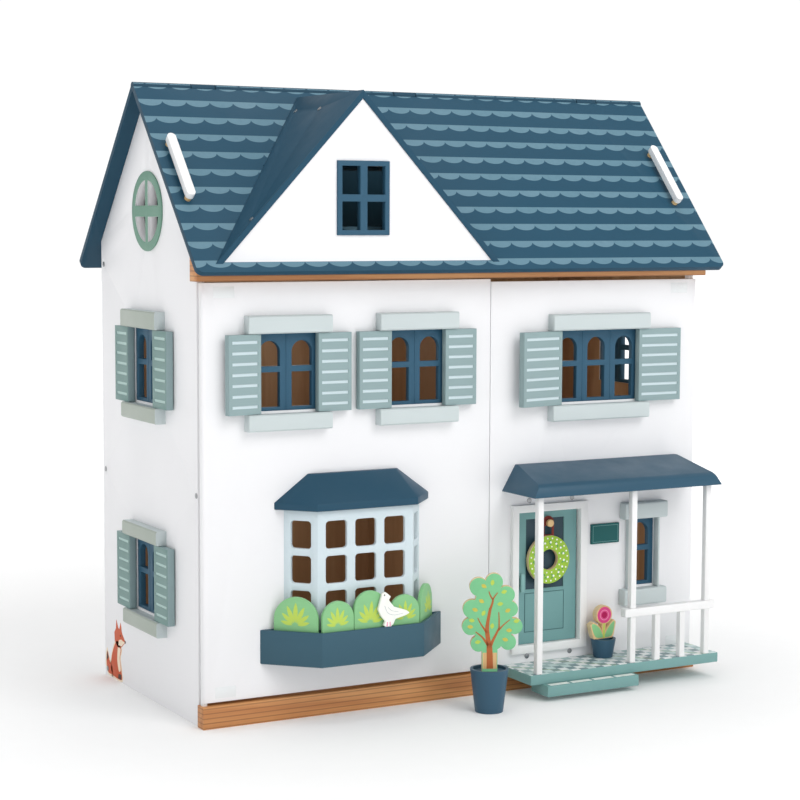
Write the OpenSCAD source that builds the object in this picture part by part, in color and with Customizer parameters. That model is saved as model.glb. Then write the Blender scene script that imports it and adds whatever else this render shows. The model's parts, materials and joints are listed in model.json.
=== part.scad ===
// Wooden dollhouse with a lifting roof, two opening front panels, an opening entry door and shutters.
// Millimetres. Origin at the middle of the footprint on the table, front towards -Y, up is +Z.

/* [House] */
// Width over the side walls
house_width = 640; // [560:2:720]
// Thickness of the side and back walls
wall_t = 9; // [8:0.5:10]
// Thickness of the two front panels
panel_t = 9; // [8:0.5:9.5]
// Height of the back wall
back_wall_h = 510; // [480:1:511]

/* [Roof] */
// Height of the ridge line above the table
ridge_z = 687.2; // [680:0.2:690]
// Horizontal distance from the ridge to each eave edge
eave_y = 179.6; // [176:0.2:184]
// Thickness of the roof sheets
roof_t = 6; // [5.6:0.1:6.2]
// Overhang of the roof past each side wall
roof_overhang = 17; // [8:0.5:24]
// Radius of the rounded eave corners
eave_corner_r = 8; // [4:0.5:12]

/* [Shutters] */
// Thickness of every shutter
shutter_t = 8; // [6:0.5:8]
// Resting angle of the left shutter of the first window
first_shutter_ajar = 8; // [0:1:30]
// Resting angle of the left shutter of the wide window
wide_shutter_ajar = 11; // [0:1:30]
// Depth of the slat grooves
slat_depth = 0.8; // [0.4:0.1:1.5]

/* [Bay and porch] */
// Depth of the bay window in front of the panel
bay_depth = 31; // [27:0.5:33]
// Depth of the planter box under the bay
planter_depth = 50; // [46:0.5:54]
// Height of the porch deck's top above the table
deck_top = 30; // [29:0.5:32]
// Square section of the porch posts
post_w = 7.3; // [6:0.1:9]

/* [Hidden] */
hw = house_width / 2;
slope = 1.128;
slope_deg = atan(slope);
cs = cos(slope_deg);
sn = sin(slope_deg);
front_y = -147;
panel_back = front_y + panel_t;
inner_front = -135.5;
back_y = 147;
back_in = back_y - wall_t;
eave_z = ridge_z - slope * eave_y;
slope_len = eave_y / cs;
axis_s = slope_len - roof_t / 2 * sn / cs;
axis_z = ridge_z - roof_t / 2 / cs;
roof_hw = hw + roof_overhang;
wall_gap = 0.3;
ridge_r = 4.5;
pin_r = 1.0;
bore_r = 1.05;
post_pin_r = 1.5;
post_bore_r = 1.55;
knuckle_x = [-255, 0, 255];
ground_top = 24;
first_low = 242.5;
first_top = 251.5;
attic_low = 481;
attic_top = 490;
side_cy = 3.5;
round_z = 547;
up_sill = 333;
up_head = 418.5;
low_sill = 97;
sill_rise = 2.5;
low_head = 182.3;
sash_t = 7;
standoff = 1.3;
pivot_off = standoff + shutter_t / 2;
left_x0 = -hw;
left_x1 = 32;
left_z0 = 27.5;
left_z1 = 472.5;
right_x0 = 33;
right_x1 = hw;
right_z0 = 25;
right_z1 = 469.5;
hinge_in = 3.5;
hinge_y = -141.5;
w1x = -222;
w2x = -65;
w3x = 177;
w3_sill = 327;
w3_head = 412.8;
pwx = 243;
pw_sill = 104.5;
pw_head = 188;
bay_x = -142;
dormer_x = -143;
dormer_slope = 1.07;
dormer_top = 675.8;
dormer_v = 8.8;
dormer_front = -172.5;
door_x0 = 70;
door_x1 = 155;
door_z0 = 50.5;
door_z1 = 205;
door_pivot_x = 150;
door_pivot_y = -142;
peg_x = 111;
peg_z = 191;
pot_x = 179.6;
pot_y = -164;
tree_x = -11;
tree_y = -221;
tree_turn = -26;
porch_under = 231.3;

// ---- shared helpers ----

// box between two corners
module bx(x0, x1, y0, y1, z0, z1) {
  translate([x0, y0, z0])
    cube([x1 - x0, y1 - y0, z1 - z0]);
}

// a (y, z) outline run along X
module prism_x(x0, x1) {
  translate([x0, 0, 0])
    rotate([90, 0, 90])
      linear_extrude(x1 - x0)
        children();
}

// an (x, z) outline run along Y
module prism_y(y0, y1) {
  translate([0, y1, 0])
    rotate([90, 0, 0])
      linear_extrude(y1 - y0)
        children();
}

// a round bar along Y
module rod_y(x, z, r, y0, y1) {
  prism_y(y0, y1)
    translate([x, z])
      circle(r = r, $fn = 48);
}

// a round bar along Z
module rod_z(x, y, r, z0, z1) {
  translate([x, y, z0])
    cylinder(r = r, h = z1 - z0, $fn = 48);
}

// a round bar along X
module rod_x(y, z, r, x0, x1) {
  prism_x(x0, x1)
    translate([y, z])
      circle(r = r, $fn = 48);
}

// a rectangle with rounded corners, centred
module rr(w, h, r) {
  square([w, h - 2 * r], center = true);
  square([w - 2 * r, h], center = true);
  for (sx = [-1, 1], sy = [-1, 1])
    translate([sx * (w / 2 - r), sy * (h / 2 - r)])
      circle(r = r, $fn = 32);
}

// local frame of the front slope: x along the house, y up the slope, z out of the sheet
module on_slope() {
  translate([0, -eave_y, eave_z])
    rotate([slope_deg, 0, 0])
      children();
}

// the space under the front sheet's outer face
module under_front_slope(x0, x1) {
  prism_x(x0, x1)
    polygon([[-260, 300], [-260, ridge_z - slope * 260], [0, ridge_z], [0, 300]]);
}

// the two panes of a sash: low one square, top one arched
module sash_panes(zs) {
  translate([-12, zs + 6.5])
    square([24, 37.2]);
  translate([-12, zs + 50])
    square([24, 15]);
  translate([0, zs + 65])
    circle(r = 12, $fn = 48);
}

// a sash outline with its panes, standing on zs
module sash2d(w, zs, h) {
  difference() {
    translate([-w / 2, zs + sill_rise])
      square([w, h - sill_rise]);
    sash_panes(zs);
  }
}

// a front sash set in the panel
module front_sash(x, w, zs, h) {
  prism_y(front_y + 1, front_y + 1 + sash_t)
    translate([x, 0])
      sash2d(w, zs, h);
}

// a lintel or sill block on the front face, with a bevelled front edge
module front_ledge(x, half, z0, z1, out) {
  prism_x(x - half, x + half)
    polygon([[front_y, z0], [front_y - out + 1.5, z0], [front_y - out, z0 + 1.5],
      [front_y - out, z1 - 1.5], [front_y - out + 1.5, z1], [front_y, z1]]);
}

// a countersunk screw head with its shank, along +Z, head face at z = 0.4
module screw() {
  translate([0, 0, -0.8])
    cylinder(r = 3, h = 1.2, $fn = 32);
  translate([0, 0, -7])
    cylinder(r = 1.2, h = 6.2, $fn = 32);
}

// a shutter lying in the XZ plane, pivot at the origin, reaching to +X by dir = 1
module shutter(w, h, dir) {
  slats = 7;
  pitch = (h - 5) / slats;
  slat_h = 3.2;
  difference() {
    translate([dir > 0 ? -3 : 3 - w, -shutter_t / 2, 0])
      cube([w, shutter_t, h]);
    for (i = [0 : slats - 1])
      for (side = [-1, 1])
        translate([dir > 0 ? 1 : 7 - w, side > 0 ? shutter_t / 2 - slat_depth : -shutter_t / 2 - 1,
          2.5 + pitch * i + pitch / 2 - slat_h / 2])
          cube([w - 8, 1 + slat_depth, slat_h]);
  }
  translate([0, 0, -4])
    cylinder(r = pin_r, h = 5, $fn = 32);
  translate([0, 0, h - 1])
    cylinder(r = pin_r, h = 5, $fn = 32);
}

// a front shutter on its pivot, lying open at angle 0, turned out by ajar
module front_shutter(px, w, z0, h, dir, ajar) {
  translate([px, front_y - pivot_off, z0])
    rotate([0, 0, dir < 0 ? ajar : -ajar])
      shutter(w, h, dir);
}

// a side shutter on the wall at sign * hw, pivot at py, reaching towards +Y by dir = 1
module side_shutter(sign, py, z0, h, dir) {
  translate([sign * (hw + pivot_off), py, z0])
    rotate([0, 0, 90])
      shutter(39.6, h, dir);
}

// pin bores of a shutter pair in the blocks above and below
module pair_bores(x, half, z0, z1) {
  for (s = [-1, 1])
    rod_z(x + s * half, front_y - pivot_off, bore_r, z0 - 5, z1 + 5);
}

// outline of a bay-like plan: back half width, front half width, depth
module bay2d(hb, hf, d) {
  polygon([[-hb, 0], [-hf, -d], [hf, -d], [hb, 0]]);
}

// a hipped cap: lower and upper plan with parallel edges
module hip(hb, hf, d, z0, z1, tb, tf, td) {
  polyhedron(points = [[-hb, 0, z0], [-hf, -d, z0], [hf, -d, z0], [hb, 0, z0],
      [-tb, 0, z1], [-tf, -td, z1], [tf, -td, z1], [tb, 0, z1]],
    faces = [[0, 1, 2, 3], [7, 6, 5, 4], [0, 4, 5, 1], [1, 5, 6, 2], [2, 6, 7, 3], [3, 7, 4, 0]]);
}

// ---- house body ----

module ground_floor() {
  color("tan") {
    bx(-hw + wall_t, hw - wall_t, inner_front, back_in, 15, ground_top);
    bx(-hw + wall_t, hw - wall_t, inner_front, inner_front + 12, 0, 15);
    bx(-hw + wall_t, hw - wall_t, back_in - 12, back_in, 0, 15);
    for (x = [-hw + wall_t, -10, hw - wall_t - 20])
      bx(x, x + 20, inner_front + 12, back_in - 12, 0, 15);
  }
}

module front_rails() {
  color("burlywood")
    difference() {
      union() {
        bx(-hw - 1.5, hw + 1.5, -151, inner_front, 0, ground_top);
        bx(-hw - 7.5, hw + 7.5, -154, inner_front, 474, 502);
      }
      for (s = [-1, 1]) {
        rod_z(s * (hw - hinge_in), hinge_y, post_bore_r, ground_top - 9, ground_top + 1);
        rod_z(s * (hw - hinge_in), hinge_y, post_bore_r, 473, 483);
      }
    }
}

// the four openings of a round window, about its centre
module quadrants() {
  difference() {
    circle(r = 34, $fn = 96);
    square([70, 12.5], center = true);
    square([8.5, 70], center = true);
  }
}

module side_wall_2d() {
  top = ridge_z - roof_t / cs - wall_gap;
  difference() {
    polygon([[inner_front, 0], [inner_front, top + slope * inner_front], [0, top],
      [back_y, top - slope * back_y], [back_y, 0]]);
    translate([0, round_z])
      quadrants();
    for (z = [[up_sill, up_head], [low_sill, low_head]])
      translate([side_cy - 38, z[0] + sill_rise])
        square([76, z[1] - z[0] - sill_rise]);
  }
}

// the places of the wall screws as (y, z)
wall_screw_at = [[139, 485.7], [139, 246.1], [-132, 247.7], [139, 8]];

module wall_screw_set(sign) {
  for (p = wall_screw_at)
    translate([sign * hw, p[0], p[1]])
      rotate([0, sign * 90, 0])
        screw();
}

module side_walls() {
  color("white")
    difference() {
      union() {
        prism_x(-hw, -hw + wall_t)
          side_wall_2d();
        prism_x(hw - wall_t, hw)
          side_wall_2d();
      }
      wall_screw_set(-1);
      wall_screw_set(1);
    }
}

module back_wall() {
  color("tan")
    bx(-hw + wall_t, hw - wall_t, back_in, back_y, 0, back_wall_h);
}

module first_floor() {
  color("tan")
    difference() {
      bx(-hw + wall_t, hw - wall_t, inner_front, back_in, first_low, first_top);
      bx(130, 268, 84, back_in + 1, first_low - 1, first_top + 1);
    }
}

module attic_floor() {
  color("tan")
    bx(-hw + wall_t, hw - wall_t, inner_front, back_in, attic_low, attic_top);
}

module partitions() {
  color("tan") {
    difference() {
      bx(28, 37, inner_front + 2, back_in, ground_top, first_low);
      bx(27, 38, -40, 30, ground_top - 1, 185);
    }
    difference() {
      bx(28, 37, inner_front + 2, back_in, first_top, attic_low);
      bx(27, 38, -40, 30, first_top - 1, 415);
    }
  }
}

module staircase() {
  steps = 8;
  rise = (first_top - ground_top) / (steps + 1);
  run = 22;
  x0 = 92;
  tops = [for (i = [0 : steps - 1]) for (k = [0, 1]) [x0 + run * (i + k), ground_top + rise * (i + 1)]];
  color("tan")
    prism_y(92, back_in)
      polygon(concat([[x0, ground_top]], tops, [[x0 + run * steps, ground_top + rise * steps - 46],
        [x0 + 40, ground_top]]));
}

module slope_sheet(s_end) {
  r = eave_corner_r;
  translate([0, 0, -roof_t])
    linear_extrude(roof_t) {
      translate([-roof_hw, r])
        square([2 * roof_hw, s_end - r]);
      translate([-roof_hw + r, 0])
        square([2 * roof_hw - 2 * r, r + 1]);
      for (s = [-1, 1])
        translate([s * (roof_hw - r), r])
          circle(r = r, $fn = 48);
    }
}

module knuckle_leaves() {
  for (x = knuckle_x)
    mirror([0, 1, 0])
      on_slope()
        translate([x - 12, axis_s - 18, -roof_t / 2 - 0.6])
          cube([24, 17.5, 1.2]);
}

module rear_roof() {
  color("steelblue")
    difference() {
      mirror([0, 1, 0])
        on_slope()
          slope_sheet(axis_s);
      rod_x(0, axis_z, ridge_r + 0.25, -roof_hw - 1, roof_hw + 1);
      knuckle_leaves();
    }
}

module ridge_hinges() {
  color("silver") {
    rod_x(0, axis_z, pin_r, -roof_hw + 2, roof_hw - 2);
    for (x = knuckle_x)
      rod_x(0, axis_z, ridge_r, x - 14, x + 14);
    knuckle_leaves();
  }
}

module wall_screws() {
  color("silver") {
    wall_screw_set(-1);
    wall_screw_set(1);
  }
}

// side ledge outline as (x, z), standing off the wall face by out
module side_ledge(sign, z0, z1) {
  out = 12.5;
  translate([0, side_cy - 51, 0])
    mirror([sign < 0 ? 1 : 0, 0, 0])
      prism_y(0, 102)
        polygon([[hw, z0], [hw + out - 1.5, z0], [hw + out, z0 + 1.5], [hw + out, z1 - 1.5],
          [hw + out - 1.5, z1], [hw, z1]]);
}

module side_window_trim() {
  color("whitesmoke")
    difference() {
      for (sign = [-1, 1]) {
        side_ledge(sign, up_head, 438);
        side_ledge(sign, 316, up_sill);
        side_ledge(sign, low_head, 198);
        side_ledge(sign, 80, low_sill);
      }
      for (sign = [-1, 1], y = [side_cy - 40, side_cy + 40]) {
        rod_z(sign * (hw + pivot_off), y, bore_r, up_sill - 5, up_head + 5);
        rod_z(sign * (hw + pivot_off), y, bore_r, low_sill - 5, low_head + 5);
      }
    }
}

module side_casements() {
  color("steelblue")
    for (sign = [-1, 1])
      for (z = [[up_sill, up_head], [low_sill, low_head]])
        for (k = [-19, 19])
          prism_x(sign < 0 ? -hw + 1 : hw - 1 - sash_t, sign < 0 ? -hw + 1 + sash_t : hw - 1)
            translate([side_cy + k, 0])
              sash2d(37.98, z[0], z[1] - z[0]);
}

module round_windows() {
  color("darkseagreen")
    for (sign = [-1, 1])
      prism_x(sign < 0 ? -hw - 1.6 : hw, sign < 0 ? -hw : hw + 1.6)
        translate([0, round_z])
          difference() {
            circle(r = 44, $fn = 96);
            quadrants();
          }
}

// ---- left front panel ----

// panel board with a rounded hinge edge on the side given by sign
module panel_board(x0, x1, z0, z1, sign) {
  r = hinge_in;
  translate([0, 0, z0])
    linear_extrude(z1 - z0) {
      translate([sign < 0 ? x0 + r : x0, front_y])
        square([x1 - x0 - r, panel_t]);
      translate([sign < 0 ? x0 : x1 - r, front_y + r])
        square([r, panel_t - 2 * r]);
      for (y = [front_y + r, panel_back - r])
        translate([sign < 0 ? x0 + r : x1 - r, y])
          circle(r = r, $fn = 48);
    }
}

module hinge_plates(sign, z0, z1) {
  for (z = [z0 + 4, z1 - 16])
    bx(sign < 0 ? -hw + 14 : hw - 38, sign < 0 ? -hw + 38 : hw - 14, front_y, front_y + 1, z, z + 12);
}

module hinge_pins(sign, z0, z1) {
  rod_z(sign * (hw - hinge_in), hinge_y, post_pin_r, ground_top - 8, z0 + 16);
  rod_z(sign * (hw - hinge_in), hinge_y, post_pin_r, z1 - 16, 482);
}

module left_panel() {
  color("white")
    difference() {
      panel_board(left_x0, left_x1, left_z0, left_z1, -1);
      for (x = [w1x, w2x])
        bx(x - 38, x + 38, front_y - 1, panel_back + 1, up_sill + sill_rise, up_head);
      bx(bay_x - 74, bay_x + 74, front_y - 1, panel_back + 1, 101, 225);
      hinge_plates(-1, left_z0, left_z1);
      hinge_pins(-1, left_z0, left_z1);
    }
}

module left_window_trim() {
  color("whitesmoke")
    difference() {
      for (x = [w1x, w2x]) {
        front_ledge(x, 49, up_head, 437.5, 13);
        front_ledge(x, 49, 315, up_sill, 13);
      }
      for (x = [w1x, w2x])
        pair_bores(x, 37, up_sill, up_head);
    }
}

module left_casements() {
  color("steelblue")
    for (x = [w1x, w2x])
      for (s = [-1, 1])
        front_sash(x + s * 19, 37.98, up_sill, up_head - up_sill);
}

module bay_panes(w) {
  for (z = [127, 164.85, 202.7])
    translate([0, z])
      rr(w, 30, 4);
}

module bay_frame() {
  t = 4.5;
  color("gainsboro")
    translate([bay_x, front_y, 0])
      difference() {
        translate([0, 0, 100.7])
          linear_extrude(128.6)
            difference() {
              bay2d(83.5, 58, bay_depth);
              translate([0, 1, 0])
                bay2d(83.5 - t * 1.28, 58 - t * 0.62, bay_depth - t + 1);
            }
        prism_y(-bay_depth - 1, -bay_depth + t + 1)
          for (i = [-1, 0, 1])
            translate([i * 35.5, 0])
              bay_panes(25.5);
        for (s = [-1, 1])
          translate([s * 70.75, -bay_depth / 2, 0])
            rotate([0, 0, s * atan2(bay_depth, 25.5)])
              translate([0, -2, 0])
                prism_y(-10, 14)
                  bay_panes(24);
      }
}

module bay_roof() {
  color("steelblue")
    translate([bay_x, front_y, 0]) {
      translate([0, 0, 229.3])
        linear_extrude(7.7)
          bay2d(95, 61, 37);
      hip(95, 61, 37, 237, 266, 55.2, 48.77, 7);
    }
}

module bay_planter() {
  wall = 4;
  color("steelblue")
    translate([bay_x, front_y, 0])
      difference() {
        translate([0, 0, 63.4])
          linear_extrude(37.3)
            bay2d(112, 62, planter_depth);
        translate([0, 0, 82])
          linear_extrude(30)
            difference() {
              translate([0, -2])
                bay2d(104, 62 - wall * 0.41 - 1.2, planter_depth - wall - 2);
              bay2d(84.5, 58.5, bay_depth + 1);
              translate([-200, -2])
                square([400, 10]);
            }
      }
}

// a domed shrub cut-out on a straight foot
module shrub2d(w, h) {
  r = w / 2;
  translate([-r, 0])
    square([w, h - r]);
  translate([0, h - r])
    circle(r = r, $fn = 64);
}

module facet_shrub(s, w, h) {
  translate([bay_x + s * 84, front_y - planter_depth / 2 + 1, 82])
    rotate([0, 0, s * 45])
      translate([s * -2, 5.5, 0])
        prism_y(-2, 2)
          shrub2d(w, h);
}

module shrubs() {
  color("mediumseagreen") {
    for (p = [[-182.5, 37.5, 51], [-144, 38, 59], [-101.5, 36, 51]])
      translate([p[0], front_y - planter_depth + 7, 82])
        prism_y(-2, 2)
          shrub2d(p[1], p[2]);
    facet_shrub(-1, 50, 55);
    facet_shrub(1, 48, 56);
  }
}

// a standing bird cut-out on the trough's front rim: chest to the left, tail to the right
module dove() {
  color("white")
    translate([-124, front_y - planter_depth + 2, 82])
      prism_y(-2, 2) {
        translate([-4, 18.7])
          square([8, 5.3]);
        polygon([[-6, 20.2], [5.7, 20.2], [8.7, 26.3], [21.6, 29.3], [26.3, 31.6], [22.5, 34.7],
          [6.9, 40], [0.5, 47.6], [2.8, 51.4], [-0.5, 54.4], [-4.3, 57.2], [-7.8, 55.2], [-9.5, 49],
          [-12.5, 38.5], [-9.5, 31.6], [-3.8, 24.8]]);
      }
}

module washer(sign, z0) {
  difference() {
    rod_z(sign * (hw - hinge_in), hinge_y, 3.5, ground_top + 0.02, z0);
    rod_z(sign * (hw - hinge_in), hinge_y, post_pin_r, ground_top, z0 + 1);
  }
}

module left_hinge_fittings() {
  color("gainsboro") {
    hinge_pins(-1, left_z0, left_z1);
    washer(-1, left_z0);
    hinge_plates(-1, left_z0, left_z1);
  }
}

// ---- right front panel ----

module right_panel() {
  color("white")
    difference() {
      panel_board(right_x0, right_x1, right_z0, right_z1, 1);
      bx(w3x - 58.5, w3x + 58.5, front_y - 1, panel_back + 1, w3_sill + sill_rise, w3_head);
      bx(pwx - 19, pwx + 19, front_y - 1, panel_back + 1, pw_sill + sill_rise, pw_head);
      bx(door_x0 - 2, door_x1 + 2, front_y - 1, panel_back + 1, door_z0 - 2, door_z1 + 2);
      hinge_plates(1, right_z0, right_z1);
      hinge_pins(1, right_z0, right_z1);
      frame_screws_solid();
    }
}

module right_window_trim() {
  color("whitesmoke") {
    difference() {
      union() {
        front_ledge(w3x, 67, w3_head, 431.5, 13);
        front_ledge(w3x, 67, 308.7, w3_sill, 13);
      }
      pair_bores(w3x, 57, w3_sill, w3_head);
    }
    front_ledge(pwx, 30.5, pw_head, 207.5, 13);
    front_ledge(pwx, 30.5, 85, pw_sill, 13);
    for (x = [pwx - 21.5, pwx + 19])
      bx(x, x + 2.5, front_y - 10, front_y, pw_sill + 0.01, pw_head - 0.01);
  }
}

module right_casements() {
  color("steelblue") {
    for (i = [-1, 0, 1])
      front_sash(w3x + i * 39, 38.98, w3_sill, w3_head - w3_sill);
    front_sash(pwx, 38, pw_sill, pw_head - pw_sill);
  }
}

module door_frame() {
  color("whitesmoke")
    difference() {
      union() {
        bx(62, 164, front_y - 5, front_y, 41.3, 213.5);
        bx(door_x0 - 2, door_x1 + 2, front_y - 1, panel_back, door_z0 - 2, door_z1 + 2);
      }
      bx(door_x0, door_x1, front_y - 6, panel_back + 1, door_z0, door_z1);
      rod_z(door_pivot_x, door_pivot_y, bore_r, door_z0 - 1.5, door_z1 + 1.5);
    }
}

module frame_screws_solid() {
  for (p = [[86.2, 218.1], [144.8, 218.1], [84.8, 37], [143.9, 37]])
    translate([p[0], front_y, p[1]])
      rotate([90, 0, 0])
        screw();
}

module frame_screws() {
  color("silver")
    frame_screws_solid();
}

module house_sign() {
  color("cadetblue")
    bx(171, 210.4, front_y - 3, front_y, 161, 184.5);
}

module porch_deck() {
  color("paleturquoise") {
    bx(51, 313.2, -209, front_y, 24.5, deck_top);
    bx(51, 313.2, -209, -152.7, 18.4, 24.5);
  }
}

module porch_step() {
  color("paleturquoise")
    bx(67, 191.5, -220, -185, 5.6, 18.4);
}

module post(x, z0, z1) {
  bx(x - post_w / 2, x + post_w / 2, -205 - post_w / 2, -205 + post_w / 2, z0, z1);
}

module porch_posts() {
  color("white") {
    post(63, deck_top, porch_under);
    post(190.5, 93.5, porch_under);
    post(296.2, 93.5, porch_under);
  }
}

module porch_railing() {
  color("white") {
    bx(178.6, 306.5, -210, -200, 84, 93.5);
    for (x = [190.5, 225.2, 260.8, 296.2])
      bx(x - post_w / 2, x + post_w / 2, -205 - post_w / 2, -205 + post_w / 2, deck_top, 84);
  }
}

module porch_roof() {
  roll_r = 12.5;
  color("steelblue")
    translate([178.9, front_y, 0])
      difference() {
        intersection() {
          hip(129.7, 129.7, 70, porch_under, 261, 112, 112, 62);
          prism_x(-140, 140) {
            polygon([[1, 229], [1, 262], [0, 261], [-6, 261], [-60.47, 246.14], [-57.5, 234],
              [-57.5, 229]]);
            translate([-57.5, 234])
              circle(r = roll_r, $fn = 64);
          }
        }
        bx(-118, 118, -50, -8, 229, 240);
      }
}

module right_hinge_fittings() {
  color("gainsboro") {
    hinge_pins(1, right_z0, right_z1);
    washer(1, right_z0);
    hinge_plates(1, right_z0, right_z1);
  }
}

// ---- entry door ----

module door_leaf() {
  lx0 = door_x0 + 0.6;
  lz0 = door_z0 + 0.4;
  lh = door_z1 - door_z0 - 0.8;
  color("cadetblue") {
    difference() {
      translate([0, 0, lz0])
        linear_extrude(lh) {
          translate([lx0, -145])
            square([151.5 - lx0, 6]);
          translate([151.5, -142])
            circle(r = 3, $fn = 48);
        }
      bx(83.5, 135.5, -146, -143.5, 114, 196);
      bx(82, 136.5, -146, -144.4, 64, 110);
      rod_y(peg_x, peg_z, post_pin_r, -146, -142);
      bx(74, 77.5, -146, -143, 117, 119);
      bx(74, 77.5, -146, -143, 128, 130);
    }
    bx(83, 135.5, -145, -144.4, 65, 109);
    rod_z(door_pivot_x, door_pivot_y, pin_r, door_z0 - 1.2, door_z0 + 4);
    rod_z(door_pivot_x, door_pivot_y, pin_r, door_z1 - 4, door_z1 + 1.2);
  }
}

module door_fittings() {
  color("whitesmoke") {
    bx(73.5, 78, -152, -148.5, 113, 134);
    bx(74, 77.5, -148.5, -143, 117, 119);
    bx(74, 77.5, -148.5, -143, 128, 130);
    rod_y(peg_x, peg_z, post_pin_r, -152, -142);
    rod_y(peg_x, peg_z, 4.2, -155, -151.5);
  }
}

module wreath() {
  wz = 148.3;
  color("olivedrab") {
    difference() {
      union() {
        rod_y(peg_x, wz, 28, -152.4, -146.4);
        bx(peg_x - 8, peg_x + 8, -149.6, -148.4, wz + 20, peg_z);
        rod_y(peg_x, peg_z, 8, -149.6, -148.4);
      }
      rod_y(peg_x, wz, 12, -154, -145);
      bx(peg_x - 5, peg_x + 5, -150, -148, wz + 29, peg_z - 3.5);
      rod_y(peg_x, peg_z, post_bore_r, -150, -147);
    }
  }
}

// ---- loose plants ----

// a tapered pot with a shallow recess on top
module pot(r_foot, r_rim, h) {
  difference() {
    cylinder(r1 = r_foot, r2 = r_rim, h = h, $fn = 64);
    translate([0, 0, h - 3])
      cylinder(r = r_rim - 3, h = 4, $fn = 64);
  }
}

// a cut-out flower: two leaves, a stem and a round head
module flower2d() {
  translate([-2.5, 0])
    square([5, 26]);
  polygon([[0, 0], [-11, 0], [-15, 7], [-19, 21], [-14, 24], [-6, 19], [0, 9], [7, 19], [14, 25],
    [17, 22], [14, 7], [10, 0]]);
  translate([0.5, 31.5])
    circle(r = 11, $fn = 64);
}

module flower_pot() {
  color("steelblue")
    translate([pot_x, pot_y, deck_top]) {
      pot(11.15, 14.85, 22);
      translate([-2, 0, 18.5])
        prism_y(-4, 4)
          intersection() {
            flower2d();
            union() {
              translate([-11, -1])
                square([20, 5]);
              translate([-30, 3.9])
                square([60, 60]);
            }
          }
    }
}

// lobes of the tree's leafy crown as (along, z, r), about the trunk, going round from the top
crown = [[4.4, 144.3, 9.6], [17.5, 130.3, 9.6], [21.9, 114.5, 8.8], [27.1, 95.3, 8.8],
  [20.1, 77.8, 8.8], [3, 80.5, 12], [-12.3, 76, 8.8], [-21, 95.3, 9.6], [-19.3, 114.5, 10.5],
  [-12.3, 139, 10.2]];

module crown2d() {
  polygon([for (c = crown) [c[0], c[1]]]);
  for (c = crown)
    translate([c[0], c[1]])
      circle(r = c[2], $fn = 64);
}

module potted_tree() {
  color("mediumaquamarine")
    translate([tree_x, tree_y, 0]) {
      pot(15.5, 21.3, 48);
      rotate([0, 0, tree_turn]) {
        bx(-8.5, 8.5, -4, 4, 44, 82);
        prism_y(-4, 4)
          crown2d();
      }
    }
}

// ---- lifting front roof ----

module roof_front_panel() {
  color("steelblue")
    difference() {
      union() {
        on_slope()
          slope_sheet(axis_s);
        rod_x(0, axis_z, ridge_r, -roof_hw, roof_hw);
      }
      rod_x(0, axis_z, bore_r, -roof_hw - 1, roof_hw + 1);
      for (x = knuckle_x)
        rod_x(0, axis_z, ridge_r + 0.4, x - 15, x + 15);
      on_slope()
        translate([dormer_x - 75, 62, -roof_t - 1])
          cube([150, 88, roof_t + 2]);
    }
}

// half chevron of the dormer in (x, z), on the side given by s
module dormer_half(s) {
  reach = 175;
  drop = dormer_slope * reach;
  polygon([[s * 0.05, dormer_top], [s * reach, dormer_top - drop],
    [s * reach, dormer_top - drop - dormer_v], [s * 0.05, dormer_top - dormer_v]]);
}

module dormer_screw_heads() {
  a = atan(dormer_slope);
  for (s = [-1, 1])
    for (p = [[16, -40], [16, -100], [128, -166]])
      translate([dormer_x + s * p[0], p[1], dormer_top - dormer_slope * p[0]])
        rotate([0, s * a, 0])
          translate([0, 0, -2])
            cylinder(r = 2.6, h = 2.6, $fn = 32);
}

module dormer_slopes() {
  color("steelblue")
    difference() {
      for (s = [-1, 1])
        prism_y(dormer_front, -5)
          translate([dormer_x, 0])
            dormer_half(s);
      under_front_slope(-hw - 60, hw + 60);
      dormer_screw_heads();
    }
}

module dormer_gable() {
  half = 168;
  top = dormer_top - dormer_v;
  color("white")
    difference() {
      prism_y(-171, -165)
        translate([dormer_x, 0])
          polygon([[-half, top - dormer_slope * half], [half, top - dormer_slope * half], [0, top]]);
      under_front_slope(-hw - 60, hw + 60);
      bx(dormer_x - 30.8, dormer_x + 31.7, -172, -164, 522, 601);
    }
}

module dormer_window() {
  color("steelblue")
    prism_y(-173.5, -165.5)
      difference() {
        translate([dormer_x - 30.8, 522])
          square([62.5, 79]);
        for (x = [5.5, 35.5], z = [5.5, 43.3])
          translate([dormer_x - 30.8 + x, 522 + z])
            square([21.5, 30.2]);
      }
}

module dormer_screws() {
  color("silver")
    dormer_screw_heads();
}

module roof_handles() {
  color("white")
    for (s = [-1, 1])
      on_slope()
        translate([s * 315.2 - 4.8, 138.9, 0]) {
          translate([0, 0, 5.4])
            linear_extrude(7.4)
              rr(9.6, 88, 4.7);
          for (y = [-38.5, 38.5])
            translate([0, y, 0])
              cylinder(r = 3.6, h = 6, $fn = 32);
        }
}

// ---- shutters ----

up_h = up_head - up_sill - 1;
low_h = low_head - low_sill - 1;
w3_h = w3_head - w3_sill - 1;

module w1_shutter_left() {
  color("lightblue")
    front_shutter(w1x - 37, 39.6, up_sill + 0.5, up_h, -1, first_shutter_ajar);
}

module w1_shutter_right() {
  color("lightblue")
    front_shutter(w1x + 37, 39.6, up_sill + 0.5, up_h, 1, 0);
}

module w2_shutter_left() {
  color("lightblue")
    front_shutter(w2x - 37, 39.6, up_sill + 0.5, up_h, -1, 0);
}

module w2_shutter_right() {
  color("lightblue")
    front_shutter(w2x + 37, 39.6, up_sill + 0.5, up_h, 1, 0);
}

module w3_shutter_left() {
  color("lightblue")
    front_shutter(w3x - 57, 59.6, w3_sill + 0.5, w3_h, -1, wide_shutter_ajar);
}

module w3_shutter_right() {
  color("lightblue")
    front_shutter(w3x + 57, 59.6, w3_sill + 0.5, w3_h, 1, 0);
}

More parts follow.
